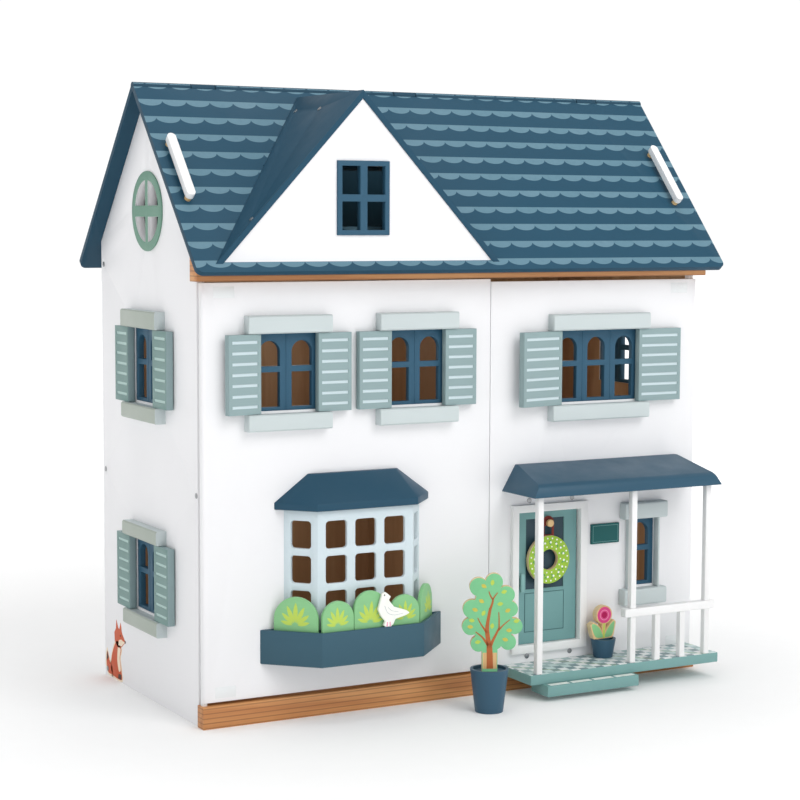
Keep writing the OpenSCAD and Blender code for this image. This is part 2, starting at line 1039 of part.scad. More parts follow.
module left_upper_shutter_front() {
  color("lightblue")
    side_shutter(-1, side_cy - 40, up_sill + 0.5, up_h, -1);
}

module left_upper_shutter_rear() {
  color("lightblue")
    side_shutter(-1, side_cy + 40, up_sill + 0.5, up_h, 1);
}

module left_lower_shutter_front() {
  color("lightblue")
    side_shutter(-1, side_cy - 40, low_sill + 0.5, low_h, -1);
}

module left_lower_shutter_rear() {
  color("lightblue")
    side_shutter(-1, side_cy + 40, low_sill + 0.5, low_h, 1);
}

module right_upper_shutter_front() {
  color("lightblue")
    side_shutter(1, side_cy - 40, up_sill + 0.5, up_h, -1);
}

module right_upper_shutter_rear() {
  color("lightblue")
    side_shutter(1, side_cy + 40, up_sill + 0.5, up_h, 1);
}

module right_lower_shutter_front() {
  color("lightblue")
    side_shutter(1, side_cy - 40, low_sill + 0.5, low_h, -1);
}

module right_lower_shutter_rear() {
  color("lightblue")
    side_shutter(1, side_cy + 40, low_sill + 0.5, low_h, 1);
}

ground_floor();
front_rails();
side_walls();
back_wall();
first_floor();
attic_floor();
partitions();
staircase();
rear_roof();
ridge_hinges();
wall_screws();
side_window_trim();
side_casements();
round_windows();
left_panel();
left_window_trim();
left_casements();
bay_frame();
bay_roof();
bay_planter();
shrubs();
dove();
left_hinge_fittings();
right_panel();
right_window_trim();
right_casements();
door_frame();
frame_screws();
house_sign();
porch_deck();
porch_step();
porch_posts();
porch_railing();
porch_roof();
right_hinge_fittings();
door_leaf();
door_fittings();
wreath();
flower_pot();
potted_tree();
roof_front_panel();
dormer_slopes();
dormer_gable();
dormer_window();
dormer_screws();
roof_handles();
w1_shutter_left();
w1_shutter_right();
w2_shutter_left();
w2_shutter_right();
w3_shutter_left();
w3_shutter_right();
left_upper_shutter_front();
left_upper_shutter_rear();
left_lower_shutter_front();
left_lower_shutter_rear();
right_upper_shutter_front();
right_upper_shutter_rear();
right_lower_shutter_front();
right_lower_shutter_rear();
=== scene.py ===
import json
import math
from math import cos, pi, radians, sin

import bmesh
import bpy
from mathutils import Matrix, Vector


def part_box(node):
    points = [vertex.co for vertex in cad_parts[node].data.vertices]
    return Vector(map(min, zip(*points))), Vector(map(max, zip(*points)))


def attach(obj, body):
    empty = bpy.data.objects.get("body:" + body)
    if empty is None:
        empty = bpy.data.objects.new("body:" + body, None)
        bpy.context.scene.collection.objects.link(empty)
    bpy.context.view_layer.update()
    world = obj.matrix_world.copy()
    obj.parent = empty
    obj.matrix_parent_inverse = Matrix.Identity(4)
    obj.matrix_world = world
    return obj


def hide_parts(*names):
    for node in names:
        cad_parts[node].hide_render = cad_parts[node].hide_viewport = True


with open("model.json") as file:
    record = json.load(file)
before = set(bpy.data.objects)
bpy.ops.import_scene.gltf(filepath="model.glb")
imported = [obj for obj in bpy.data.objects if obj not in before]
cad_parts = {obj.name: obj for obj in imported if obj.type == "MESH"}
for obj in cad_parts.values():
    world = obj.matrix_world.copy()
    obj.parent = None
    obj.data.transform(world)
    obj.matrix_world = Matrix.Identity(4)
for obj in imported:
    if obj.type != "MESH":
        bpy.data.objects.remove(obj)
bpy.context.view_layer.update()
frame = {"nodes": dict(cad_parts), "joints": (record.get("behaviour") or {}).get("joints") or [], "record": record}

MM = 0.001
NODES = frame["nodes"]
RECORD = frame["record"]
SLOT_OF = {s["node"]: s["material_slot"] for s in RECORD["subparts"]}
BODY_OF = {n: b for b, ns in RECORD["behaviour"]["bodies"].items() for n in ns}


def box_mm(node):
    """Lowest and highest corner of a CAD node, in millimetres."""
    lo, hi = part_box(node)
    return lo / MM, hi / MM


# Driving dimensions, taken from the frame
WALL_HI = box_mm("side_walls")[1]
ROOF_HI = box_mm("roof_front_panel")[1]
PANEL_LO = box_mm("left_panel")[0]
DECK_HI = box_mm("porch_deck")[1]
STEP_LO, STEP_HI = box_mm("porch_step")
LEAF_LO = box_mm("door_leaf")[0]
WREATH_LO, WREATH_HI = box_mm("wreath")
SIGN_LO, SIGN_HI = box_mm("house_sign")
DOVE_LO = box_mm("dove")[0]
BAY_LO, BAY_HI = box_mm("bay_planter")
FRONT_Y = PANEL_LO.y
HOUSE_HW = WALL_HI.x
SLOPE = 1.128
SLOPE_DEG = math.atan(SLOPE)
EAVE_Y = 179.6
TROUGH_Z = 82
BAY_FACET = 45
TREE_AT = (-11.0, -221.0)
TREE_TURN = -26.0
FLOWER_AT = (177.6, -164.0)


# ---------------------------------------------------------------- shader helpers

def rgb(r, g, b, a=1.0):
    """sRGB 0..255 to a linear colour."""
    def lin(c):
        c /= 255
        return c / 12.92 if c <= 0.04045 else ((c + 0.055) / 1.055) ** 2.4
    return (lin(r), lin(g), lin(b), a)


def scaled(colour, k):
    return tuple(min(1.0, c * k) for c in colour[:3]) + (1.0,)


class Shade:
    """A Principled material with short calls for its node tree."""

    def __init__(self, name):
        self.mat = bpy.data.materials.new(name)
        self.mat.use_nodes = True
        self.tree = self.mat.node_tree
        self.bsdf = self.tree.nodes["Principled BSDF"]
        self.coord = self.node("ShaderNodeTexCoord")
        self.at = self.coord.outputs["Object"]

    def node(self, kind, **props):
        n = self.tree.nodes.new(kind)
        for k, v in props.items():
            setattr(n, k, v)
        return n

    def put(self, socket, value):
        if isinstance(value, bpy.types.NodeSocket):
            self.tree.links.new(value, socket)
        else:
            socket.default_value = value

    def math(self, op, *args, clamp=False):
        n = self.node("ShaderNodeMath", operation=op, use_clamp=clamp)
        for i, a in enumerate(args):
            self.put(n.inputs[i], a)
        return n.outputs[0]

    def xyz(self):
        n = self.node("ShaderNodeSeparateXYZ")
        self.put(n.inputs[0], self.at)
        return n.outputs

    def point(self, x, y, z):
        n = self.node("ShaderNodeCombineXYZ")
        for i, v in enumerate((x, y, z)):
            self.put(n.inputs[i], v)
        return n.outputs[0]

    def stretched(self, scale, turn=(0, 0, 0)):
        n = self.node("ShaderNodeMapping")
        self.put(n.inputs["Vector"], self.at)
        n.inputs["Scale"].default_value = scale
        n.inputs["Rotation"].default_value = turn
        return n.outputs[0]

    def noise(self, scale, detail=3.0, rough=0.5, where=None, warp=0.0):
        n = self.node("ShaderNodeTexNoise")
        self.put(n.inputs["Vector"], where or self.at)
        n.inputs["Scale"].default_value = scale
        n.inputs["Detail"].default_value = detail
        n.inputs["Roughness"].default_value = rough
        n.inputs["Distortion"].default_value = warp
        return n.outputs["Fac"]

    def white(self, where):
        n = self.node("ShaderNodeTexWhiteNoise", noise_dimensions="3D")
        self.put(n.inputs["Vector"], where)
        return n.outputs["Value"]

    def remap(self, value, a, b, c=0.0, d=1.0):
        n = self.node("ShaderNodeMapRange")
        n.inputs["From Min"].default_value = a
        n.inputs["From Max"].default_value = b
        n.inputs["To Min"].default_value = c
        n.inputs["To Max"].default_value = d
        self.put(n.inputs["Value"], value)
        return n.outputs[0]

    def mix(self, fac, a, b):
        n = self.node("ShaderNodeMix", data_type="RGBA")
        self.put(n.inputs[0], fac)
        self.put(n.inputs[6], a)
        self.put(n.inputs[7], b)
        return n.outputs[2]

    def bump(self, height, strength, depth_mm):
        n = self.node("ShaderNodeBump")
        n.inputs["Strength"].default_value = strength
        n.inputs["Distance"].default_value = depth_mm * MM
        self.put(n.inputs["Height"], height)
        self.put(self.bsdf.inputs["Normal"], n.outputs[0])

    def finish(self, colour, rough, coat=0.0, metal=0.0, specular=0.5):
        self.put(self.bsdf.inputs["Base Color"], colour)
        self.put(self.bsdf.inputs["Roughness"], rough)
        self.bsdf.inputs["Coat Weight"].default_value = coat
        self.bsdf.inputs["Coat Roughness"].default_value = 0.3
        self.bsdf.inputs["Metallic"].default_value = metal
        self.bsdf.inputs["Specular IOR Level"].default_value = specular
        return self.mat


def paint_layers(s, colour, drift=0.05, rough=0.46):
    """Sprayed paint on wood: soft drift of tone, faint specks, and a fine orange-peel skin."""
    broad = s.noise(7.0, 3.0)
    fine = s.noise(900.0, 2.0)
    fibre = s.noise(60.0, 4.0, where=s.stretched((1.0, 1.0, 14.0)))
    tone = s.math("ADD", s.math("MULTIPLY", broad, 0.7), s.math("MULTIPLY", fibre, 0.3))
    low = s.node("ShaderNodeMix", data_type="RGBA", blend_type="MULTIPLY")
    low.inputs[0].default_value = 1.0
    s.put(low.inputs[6], colour)
    grey = 1.0 - drift
    low.inputs[7].default_value = (grey, grey, grey, 1.0)
    col = s.mix(s.remap(tone, 0.35, 0.65), low.outputs[2], colour)
    skin = s.math("ADD", s.math("MULTIPLY", fine, 0.6), s.math("MULTIPLY", fibre, 0.4))
    s.bump(skin, 0.10, 0.25)
    return col, s.remap(s.noise(35.0, 3.0), 0.3, 0.7, rough - 0.05, rough + 0.07)


def paint(name, colour, drift=0.05, rough=0.46, gloss=0.28):
    s = Shade(name)
    col, rgh = paint_layers(s, colour, drift, rough)
    return s.finish(col, rgh, specular=gloss)


def slope_distance(s):
    """Distance up the roof slope from its eave edge, in metres, at a point of either slope."""
    x, y, z = s.xyz()
    run = s.math("SUBTRACT", EAVE_Y * MM, s.math("ABSOLUTE", y))
    return x, s.math("DIVIDE", run, cos(SLOPE_DEG))


def scallop_print(name, ground, light):
    """Rows of hanging scallops printed on the roof: flat on top, lobed below, each row set half a
    lobe along."""
    first, pitch, lobe, hang, neck, phase = 15.4, 25.52, 28.0, 9.6, 1.6, 12.3
    s = Shade(name)
    x, up = slope_distance(s)
    v = s.math("DIVIDE", s.math("SUBTRACT", up, first * MM), pitch * MM)
    row = s.math("CEIL", v)
    below = s.math("MULTIPLY", s.math("SUBTRACT", row, v), pitch)
    odd = s.math("MODULO", s.math("ADD", row, 40.0), 2.0)
    along = s.math("SUBTRACT", s.math("DIVIDE", x, lobe * MM), phase / lobe)
    along = s.math("ADD", s.math("SUBTRACT", along, s.math("MULTIPLY", odd, 0.5)), 60.0)
    cell = s.math("FLOOR", along)
    u = s.math("SUBTRACT", s.math("MULTIPLY", s.math("FRACT", along), 2.0), 1.0)
    arc = s.math("SQRT", s.math("MAXIMUM", s.math("SUBTRACT", 1.0, s.math("MULTIPLY", u, u)), 0.0))
    reach = s.math("MULTIPLY_ADD", arc, hang - neck, neck)
    inside = s.remap(s.math("SUBTRACT", reach, below), -0.12, 0.12)
    inside = s.math("MULTIPLY", inside, s.math("GREATER_THAN", up, 5.0 * MM))
    tint = s.white(s.point(cell, row, 0.5))
    greyish = s.mix(tint, rgb(*light), rgb(light[0] + 6, light[1] + 4, light[2] + 4))
    ground_col, rgh = paint_layers(s, rgb(*ground), 0.06, 0.42)
    worn = s.remap(s.noise(160.0, 4.0), 0.25, 0.5, 0.9, 1.0)
    col = s.mix(s.math("MULTIPLY", inside, worn), ground_col, greyish)
    return s.finish(col, rgh, specular=0.2)


def tile_print(name, tile, colours):
    """Small squares in a few mixed tones, as printed on the porch deck."""
    s = Shade(name)
    x, y, z = s.xyz()
    cx = s.math("FLOOR", s.math("DIVIDE", s.math("ADD", x, 2.0), tile * MM))
    cy = s.math("FLOOR", s.math("DIVIDE", s.math("ADD", y, 2.0), tile * MM))
    check = s.math("MODULO", s.math("ADD", cx, cy), 2.0)
    pick = s.white(s.point(cx, cy, 0.5))
    other = s.white(s.point(cy, cx, 3.5))
    dark = s.mix(s.math("GREATER_THAN", pick, 0.55), rgb(*colours[0]), rgb(*colours[1]))
    light = s.mix(s.math("GREATER_THAN", other, 0.7), rgb(*colours[2]), rgb(*colours[3]))
    tiles = s.mix(check, light, dark)
    run = s.math("FRACT", s.math("DIVIDE", s.math("ADD", s.math("ADD", x, y), 2.0), 6.0 * tile * MM))
    stripe = s.math("LESS_THAN", s.math("ABSOLUTE", s.math("SUBTRACT", run, 0.5)), 0.018)
    tiles = s.mix(s.math("MULTIPLY", stripe, 0.55), tiles, rgb(196, 214, 120))
    col, rgh = paint_layers(s, tiles, 0.05, 0.4)
    return s.finish(col, rgh, specular=0.3)


def wood(name, light, dark, along="x", layers=0.0, rough=0.5, gap=1.0):
    """Sanded softwood or plywood: long fibres, broad growth bands, and ply layers if wanted."""
    s = Shade(name)
    run, cross = 2.5, 42.0 / gap
    scale = {"x": (run, cross, cross), "y": (cross, run, cross), "z": (cross, cross, run)}[along]
    fibre = s.noise(6.0, 6.0, 0.6, where=s.stretched(tuple(3.2 * c for c in scale)))
    band = s.noise(1.0, 3.0, 0.5, where=s.stretched(scale), warp=0.8)
    streak = s.remap(band, 0.42, 0.6)
    tone = s.math("ADD", s.math("MULTIPLY", streak, 0.65), s.math("MULTIPLY", fibre, 0.35))
    col = s.mix(tone, rgb(*light), rgb(*dark))
    if layers:
        x, y, z = s.xyz()
        wave = s.math("SINE", s.math("MULTIPLY", z, 2 * pi / (layers * MM)))
        line = s.remap(wave, 0.55, 1.0)
        col = s.mix(s.math("MULTIPLY", line, 0.55), col, rgb(*[0.62 * c for c in dark]))
    s.bump(fibre, 0.25, 0.25)
    return s.finish(col, s.remap(fibre, 0.2, 0.8, rough - 0.08, rough + 0.1))


def ply_edge(name, axis="y"):
    """Cut edge of thin plywood: pale wood with thin darker glue lines across its thickness."""
    s = Shade(name)
    coords = dict(zip("xyz", s.xyz()))
    wave = s.math("SINE", s.math("MULTIPLY", coords[axis], 2 * pi / (2.4 * MM)))
    line = s.remap(wave, 0.3, 1.0)
    fibre = s.noise(180.0, 4.0, where=s.stretched((1, 1, 6)))
    pale = s.mix(fibre, rgb(243, 222, 182), rgb(226, 194, 142))
    col = s.mix(s.math("MULTIPLY", line, 0.45), pale, rgb(186, 140, 88))
    s.bump(fibre, 0.2, 0.2)
    return s.finish(col, 0.6)


def metal(name, colour, rough=0.3):
    s = Shade(name)
    brush = s.noise(400.0, 3.0, where=s.stretched((1.0, 1.0, 9.0)))
    s.bump(brush, 0.08, 0.05)
    col = s.mix(brush, scaled(colour, 0.9), scaled(colour, 1.05))
    return s.finish(col, s.remap(brush, 0.3, 0.7, rough - 0.06, rough + 0.1), metal=1.0)


WHITE = paint("paint_white", rgb(238, 238, 240), 0.015, 0.42)
WHITE_WARM = paint("paint_white_posts", rgb(240, 240, 240), 0.02, 0.45)
TRIM = paint("paint_trim", rgb(198, 208, 209), 0.03)
# A darker copy of the trim paint: painted shade for the sideways-looking faces of the side-window trim
TRIM_SHADED = paint("paint_trim_painted_shade", rgb(170, 179, 170), 0.03)
BAY = paint("paint_bay", rgb(208, 222, 228), 0.03)
BLUE = paint("paint_window_blue", rgb(46, 87, 111), 0.06)
ROOF_TOP = scallop_print("roof_scallops", (34, 76, 98), (96, 132, 148))
ROOF = paint("paint_roof", rgb(34, 70, 90), 0.06, 0.5, 0.2)
DORMER = paint("paint_dormer", rgb(34, 74, 96), 0.06, 0.5, 0.2)
BAY_BLUE = paint("paint_bay_roof", rgb(34, 74, 96), 0.06, 0.45, 0.25)
PLANTER = paint("paint_planter", rgb(58, 92, 108), 0.06, 0.45, 0.25)
PORCH_ROOF = paint("paint_porch_roof", rgb(46, 84, 106), 0.06, 0.4, 0.3)
TEAL = paint("paint_door", rgb(116, 160, 160), 0.05)
TEAL_LINE = paint("paint_door_line", rgb(70, 108, 112), 0.04)
NAVY = paint("paint_door_glass", rgb(48, 72, 84), 0.08, 0.3)
HANDLE = paint("paint_handle", rgb(134, 178, 176), 0.05)
SHUTTER = paint("paint_shutter", rgb(143, 165, 167), 0.05)
SLAT = paint("paint_slat", rgb(204, 220, 225), 0.03)
# Darker copies of the shutter and slat paint: painted shade for the shutters on the side walls
SHUTTER_SHADED = paint("paint_shutter_painted_shade", rgb(116, 146, 142), 0.05)
SLAT_SHADED = paint("paint_slat_painted_shade", rgb(178, 205, 200), 0.03)
DECK_SIDE = paint("paint_deck", rgb(122, 164, 162), 0.05)
DECK_TOP = tile_print("deck_tiles", 10.7, ((126, 152, 156), (166, 192, 192),
                                          (238, 242, 241), (206, 224, 222)))
SAGE = paint("paint_sage", rgb(108, 148, 130), 0.05)
SHRUB = paint("paint_shrub", rgb(138, 196, 140), 0.07)
LEAF_YELLOW = paint("print_leaf_yellow", rgb(190, 214, 92), 0.1)
LEAF_OLIVE = paint("print_leaf_olive", rgb(206, 196, 88), 0.1)
CROWN = paint("paint_crown", rgb(126, 200, 146), 0.06)
BARK = paint("print_bark", rgb(186, 104, 58), 0.1)
POT = paint("paint_pot", rgb(56, 90, 112), 0.05, 0.4)
WREATH_FACE = paint("paint_wreath", rgb(158, 196, 62), 0.08)
PRINT_WHITE = paint("print_white", rgb(246, 248, 242), 0.02)
PRINT_GREEN = paint("print_green", rgb(96, 164, 84), 0.05)
LEAF_PALE = paint("print_leaf_pale", rgb(138, 200, 140), 0.05)
RIBBON = paint("ribbon", rgb(128, 50, 42), 0.12, 0.6)
PINK = paint("print_pink", rgb(224, 74, 138), 0.06)
PINK_PALE = paint("print_pink_pale", rgb(240, 150, 186), 0.06)
MAGENTA = paint("print_magenta", rgb(182, 12, 84), 0.05)
FOX_RED = paint("print_fox_red", rgb(204, 84, 36), 0.08)
FOX_CREAM = paint("print_fox_cream", rgb(244, 226, 200), 0.04)
FOX_DARK = paint("print_fox_dark", rgb(72, 44, 36), 0.05)
GREY_LINE = paint("print_grey_line", rgb(178, 184, 190), 0.03)
SIGN_TEAL = paint("paint_sign", rgb(24, 92, 92), 0.05)
SIGN_LINE = paint("paint_sign_line", rgb(112, 160, 158), 0.04)
FITTING = paint("moulded_white", rgb(232, 235, 236), 0.01, 0.3)
PINE = wood("pine_rail", (214, 156, 98), (176, 112, 62), "x", layers=5.2)
INNER = wood("inner_ply", (202, 168, 132), (168, 134, 100), "x", gap=1.6)
INNER_Z = wood("inner_ply_upright", (200, 166, 130), (166, 132, 98), "z", gap=1.6)
NATURAL = wood("peg_wood", (236, 204, 150), (214, 172, 116), "z", gap=0.4)
PLY_Y = ply_edge("ply_edge_y", "y")
ZINC = metal("zinc", rgb(150, 152, 154))
BLACK = paint("print_black", rgb(28, 30, 32), 0.02)


# ---------------------------------------------------------------- mesh helpers

def islands(mesh):
    """The separate solids of a mesh, each as its own bmesh with flat areas joined up."""
    whole = bmesh.new()
    whole.from_mesh(mesh)
    bmesh.ops.remove_doubles(whole, verts=whole.verts, dist=2e-6)
    whole.verts.ensure_lookup_table()
    seen = set()
    parts = []
    for start in whole.verts:
        if start.index in seen or not start.link_faces:
            continue
        stack, group = [start], []
        seen.add(start.index)
        while stack:
            v = stack.pop()
            group.append(v)
            for e in v.link_edges:
                o = e.other_vert(v)
                if o.index not in seen:
                    seen.add(o.index)
                    stack.append(o)
        part = bmesh.new()
        new = {v.index: part.verts.new(v.co) for v in group}
        faces = {f for v in group for f in v.link_faces}
        for f in sorted(faces, key=lambda f: f.index):
            part.faces.new([new[v.index] for v in f.verts])
        bmesh.ops.dissolve_limit(part, angle_limit=radians(0.4), verts=part.verts, edges=part.edges,
                                 delimit={"NORMAL"})
        parts.append(part)
    whole.free()
    return parts


def joined(parts, name, mats, pick=None):
    """One object from several bmeshes; pick(centre, normal, number) gives a face's material."""
    verts, faces, index = [], [], []
    for number, part in enumerate(parts):
        base = len(verts)
        part.verts.index_update()
        part.normal_update()
        verts += [v.co.copy() for v in part.verts]
        for f in part.faces:
            faces.append([base + v.index for v in f.verts])
            index.append(pick(f.calc_center_median() / MM, f.normal, number) if pick else 0)
        part.free()
    mesh = bpy.data.meshes.new(name)
    mesh.from_pydata(verts, [], faces)
    for m in mats:
        mesh.materials.append(m)
    mesh.polygons.foreach_set("material_index", index)
    mesh.shade_smooth()
    mesh.set_sharp_from_angle(angle=radians(38))
    obj = bpy.data.objects.new(name, mesh)
    bpy.context.scene.collection.objects.link(obj)
    return obj


def settle(obj, body, slot, *nodes):
    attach(obj, body)
    if nodes:
        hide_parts(*nodes)
    return obj


def softened(node, mats, bevel=0.7, pick=None, segments=2):
    """The CAD shape of a node with its hard edges eased, as painted and sanded wood has them."""
    parts = islands(NODES[node].data)
    for part in parts:
        sharp = [e for e in part.edges
                 if len(e.link_faces) == 2 and e.calc_face_angle(0.0) > radians(35)]
        if bevel and sharp:
            bmesh.ops.bevel(part, geom=sharp, offset=bevel * MM, offset_type="OFFSET",
                            segments=segments, profile=0.5, affect="EDGES", clamp_overlap=True)
    obj = joined(parts, node + "_finish", mats, pick)
    return settle(obj, BODY_OF[node], SLOT_OF[node], node)


def circle2(cx, cy, r, n=40):
    return [(cx + r * cos(2 * pi * i / n), cy + r * sin(2 * pi * i / n)) for i in range(n)]


def leaf2(cx, cy, length, width, deg, n=12):
    """A pointed leaf whose stem end is at (cx, cy), pointing along deg."""
    pts = []
    for side in (1, -1):
        steps = range(n + 1) if side > 0 else range(n - 1, 0, -1)
        for i in steps:
            t = i / n
            pts.append((length * t, side * width / 2 * sin(pi * t) ** 0.8))
    a = radians(deg)
    return [(cx + x * cos(a) - y * sin(a), cy + x * sin(a) + y * cos(a)) for x, y in pts]


def stroke2(points, w0, w1):
    """A tapering brush stroke along a line of points."""
    left, right = [], []
    last = len(points) - 1
    for i, (x, y) in enumerate(points):
        ax, ay = points[max(i - 1, 0)]
        bx, by = points[min(i + 1, last)]
        d = math.hypot(bx - ax, by - ay)
        nx, ny = -(by - ay) / d, (bx - ax) / d
        w = (w0 + (w1 - w0) * i / last) / 2
        left.append((x + nx * w, y + ny * w))
        right.append((x - nx * w, y - ny * w))
    return left + right[::-1]


def smooth_line(points, n=6):
    """More points along a smooth curve through the given ones."""
    out = []
    pts = [points[0]] + list(points) + [points[-1]]
    for i in range(1, len(pts) - 2):
        p0, p1, p2, p3 = (Vector(p) for p in pts[i - 1:i + 3])
        for k in range(n):
            t = k / n
            out.append(tuple(0.5 * ((2 * p1) + (p2 - p0) * t + (2 * p0 - 5 * p1 + 4 * p2 - p3) * t * t
                                    + (3 * p1 - p0 - 3 * p2 + p3) * t ** 3)))
    out.append(tuple(points[-1]))
    return out


def printed(name, outlines, place, out, mat, body, slot, lift=0.1):
    """Thin layers of print on a surface. place(u, v) gives the point on the surface in millimetres
    and out is the surface's outward direction."""
    bm = bmesh.new()
    out = Vector(out)
    for outline in outlines:
        top = [bm.verts.new((Vector(place(u, v)) + out * lift) * MM) for u, v in outline]
        low = [bm.verts.new((Vector(place(u, v)) - out * 0.05) * MM) for u, v in outline]
        n = len(top)
        for loop in (top, low[::-1]):
            bm.faces.new(loop)
        for i in range(n):
            bm.faces.new([top[i], low[i], low[(i + 1) % n], top[(i + 1) % n]])
    bmesh.ops.recalc_face_normals(bm, faces=bm.faces)
    obj = joined([bm], name, [mat])
    return settle(obj, body, slot)


def front(x0, z0, y):
    """Places print on a face that looks to the front."""
    return lambda u, v: (x0 + u, y, z0 + v)


def turned(cx, cy, z0, deg, face):
    """Place function and outward direction of a board turned by deg about (cx, cy)."""
    c, s = cos(radians(deg)), sin(radians(deg))
    return (lambda u, v: (cx + u * c + face * s, cy + u * s - face * c, z0 + v)), (s, -c, 0)


# ---------------------------------------------------------------- house body

ROUND_Z = (box_mm("round_windows")[0].z + box_mm("round_windows")[1].z) / 2


def wall_face(c, n, k):
    """White outside, plain wood inside."""
    return 1 if abs(c.x) < HOUSE_HW - 8.5 and abs(n.x) > 0.9 else 0


softened("side_walls", [WHITE, INNER_Z], 0.8, wall_face)
softened("back_wall", [WHITE, INNER_Z], 0.8, lambda c, n, k: 1 if n.y < -0.5 else 0)
softened("ground_floor", [INNER], 0.5)
softened("first_floor", [INNER], 0.5)
softened("attic_floor", [INNER], 0.5)
softened("partitions", [INNER_Z], 0.6)
softened("staircase", [INNER], 0.6)
softened("front_rails", [PINE], 0.9)
softened("rear_roof", [ROOF_TOP, ROOF], 0.6,
         lambda c, n, k: 0 if n.z > 0.6 and n.y > 0.6 else 1)
softened("ridge_hinges", [ROOF], 0.0)
softened("wall_screws", [ZINC], 0.3)
# Faces that look out sideways get the darker trim copy, which is painted shade
softened("side_window_trim", [TRIM, TRIM_SHADED], 1.0, lambda c, n, k: 1 if abs(n.x) > 0.7 else 0)
softened("side_casements", [BLUE], 0.5)
softened("round_windows", [SAGE, WHITE], 0.4,
         lambda c, n, k: 0 if abs(n.x) > 0.7 or math.hypot(c.y, c.z - ROUND_Z) > 40 else 1)

# ---------------------------------------------------------------- front panels

for panel in ("left_panel", "right_panel"):
    softened(panel, [WHITE], 0.8)
for trim in ("left_window_trim", "right_window_trim"):
    softened(trim, [TRIM], 1.1)
for sash in ("left_casements", "right_casements"):
    softened(sash, [BLUE], 0.5)
softened("bay_frame", [BAY], 0.6)
softened("bay_roof", [BAY_BLUE], 0.8, segments=3)
softened("bay_planter", [PLANTER], 0.9)
softened("left_hinge_fittings", [FITTING], 0.3)
softened("right_hinge_fittings", [FITTING], 0.3)
softened("door_frame", [WHITE_WARM], 0.6)
softened("frame_screws", [ZINC], 0.3)
softened("house_sign", [SIGN_TEAL], 0.5)
softened("porch_deck", [DECK_SIDE, DECK_TOP], 1.0,
         lambda c, n, k: 1 if n.z > 0.9 and c.z > DECK_HI.z - 0.5 else 0)
softened("porch_step", [DECK_SIDE], 1.0)
softened("porch_posts", [WHITE_WARM], 0.6)
softened("porch_railing", [WHITE_WARM], 0.7)
softened("porch_roof", [PORCH_ROOF], 1.6, segments=3)


def door_face(c, n, k):
    """Dark behind the upper panel, fine darker lines round the lower one."""
    depth = c.y - LEAF_LO.y
    if n.y > -0.9 or depth < 0.3 or depth > 2.0:
        return 0
    return 2 if depth > 1.2 else 1


softened("door_leaf", [TEAL, TEAL_LINE, NAVY], 0.4, door_face)
softened("door_fittings", [HANDLE, NATURAL], 0.5,
         lambda c, n, k: 1 if c.x > LEAF_LO.x + 20 else 0)

# ---------------------------------------------------------------- roof

softened("roof_front_panel", [ROOF_TOP, ROOF], 0.6,
         lambda c, n, k: 0 if n.z > 0.6 and n.y < -0.6 else 1)
softened("dormer_slopes", [DORMER], 0.6)
softened("dormer_gable", [WHITE], 0.3)
softened("dormer_window", [BLUE], 0.6)
softened("dormer_screws", [ZINC], 0.3)
EAVE_Z = ROOF_HI.z - SLOPE * EAVE_Y


def handle_face(c, n, k):
    """White bars on short wooden feet."""
    height = (c.z - EAVE_Z) * cos(SLOPE_DEG) - (c.y + EAVE_Y) * sin(SLOPE_DEG)
    return 1 if height < 5.0 else 0


softened("roof_handles", [WHITE_WARM, NATURAL], 1.8, handle_face, segments=3)

# ---------------------------------------------------------------- shutters

SHUTTER_HINGES = [j for j in frame["joints"] if "shutter" in j["child"]]
for joint in SHUTTER_HINGES:
    shutter = joint["child"]
    pivot = Vector(joint["pos_m"]) / MM
    rest_turn = 0.0
    if joint["range_deg"][0] < 0:
        rest_turn = radians(joint["range_deg"][0]) * -joint["axis"][2]
    on_side = "_upper_" in shutter or "_lower_" in shutter
    across = Vector((1, 0, 0)) if on_side else Vector((0, 1, 0))
    across.rotate(Matrix.Rotation(rest_turn, 3, "Z"))

    def groove(c, n, k, across=across, pivot=pivot, on_side=on_side):
        depth = abs((c - pivot).dot(across))
        facing = abs(n.dot(across)) > 0.9
        if facing and 1.5 < depth < 3.6:
            return 1
        return 2 if on_side and not facing else 0

    # On side-wall shutters, faces looking out sideways take the darker copies (painted shade); their edges keep
    # the front shutter paint
    softened(shutter, [SHUTTER_SHADED, SLAT_SHADED, SHUTTER] if on_side else [SHUTTER, SLAT], 0.6, groove)

# ---------------------------------------------------------------- prints on the front

softened("shrubs", [SHRUB], 0.7)
softened("dove", [PRINT_WHITE], 0.7)
BAY_X = (BAY_LO.x + BAY_HI.x) / 2


def spray(size, lean, low=24):
    """A fan of pointed leaves rising from one point."""
    fan = [(13, 3.8, 164), (16, 4.2, 138), (19, 4.6, 113), (21, 4.8, 88), (19, 4.6, 63),
           (16, 4.2, 38), (13, 3.8, 14)]
    return [leaf2(size * 3.0 * cos(radians(a + lean)), low + size * 3.0 * sin(radians(a + lean)),
                  size * length, size * width, a + lean) for length, width, a in fan]


for i, (cx, size, lean) in enumerate([(-183, 0.86, 4), (-144, 1.0, -3), (-100.7, 0.86, 2)]):
    printed(f"shrub_spray_{i}", spray(size, lean), front(cx, TROUGH_Z, FRONT_Y - 45), (0, -1, 0), LEAF_YELLOW,
            "left_front", "shrub_paint")
for side, along, size in ((-1, 1.0, 1.05), (1, 4.0, 0.95)):
    fx = BAY_X + side * 84 + along * cos(radians(BAY_FACET)) - side * 5.5 * sin(radians(BAY_FACET))
    fy = FRONT_Y - 24 + side * along * sin(radians(BAY_FACET)) + 5.5 * cos(radians(BAY_FACET))
    place, out = turned(fx, fy, TROUGH_Z, side * BAY_FACET, 2.0)
    printed(f"shrub_spray_side_{side}", spray(size, 0), place, out, LEAF_YELLOW, "left_front",
            "shrub_paint")

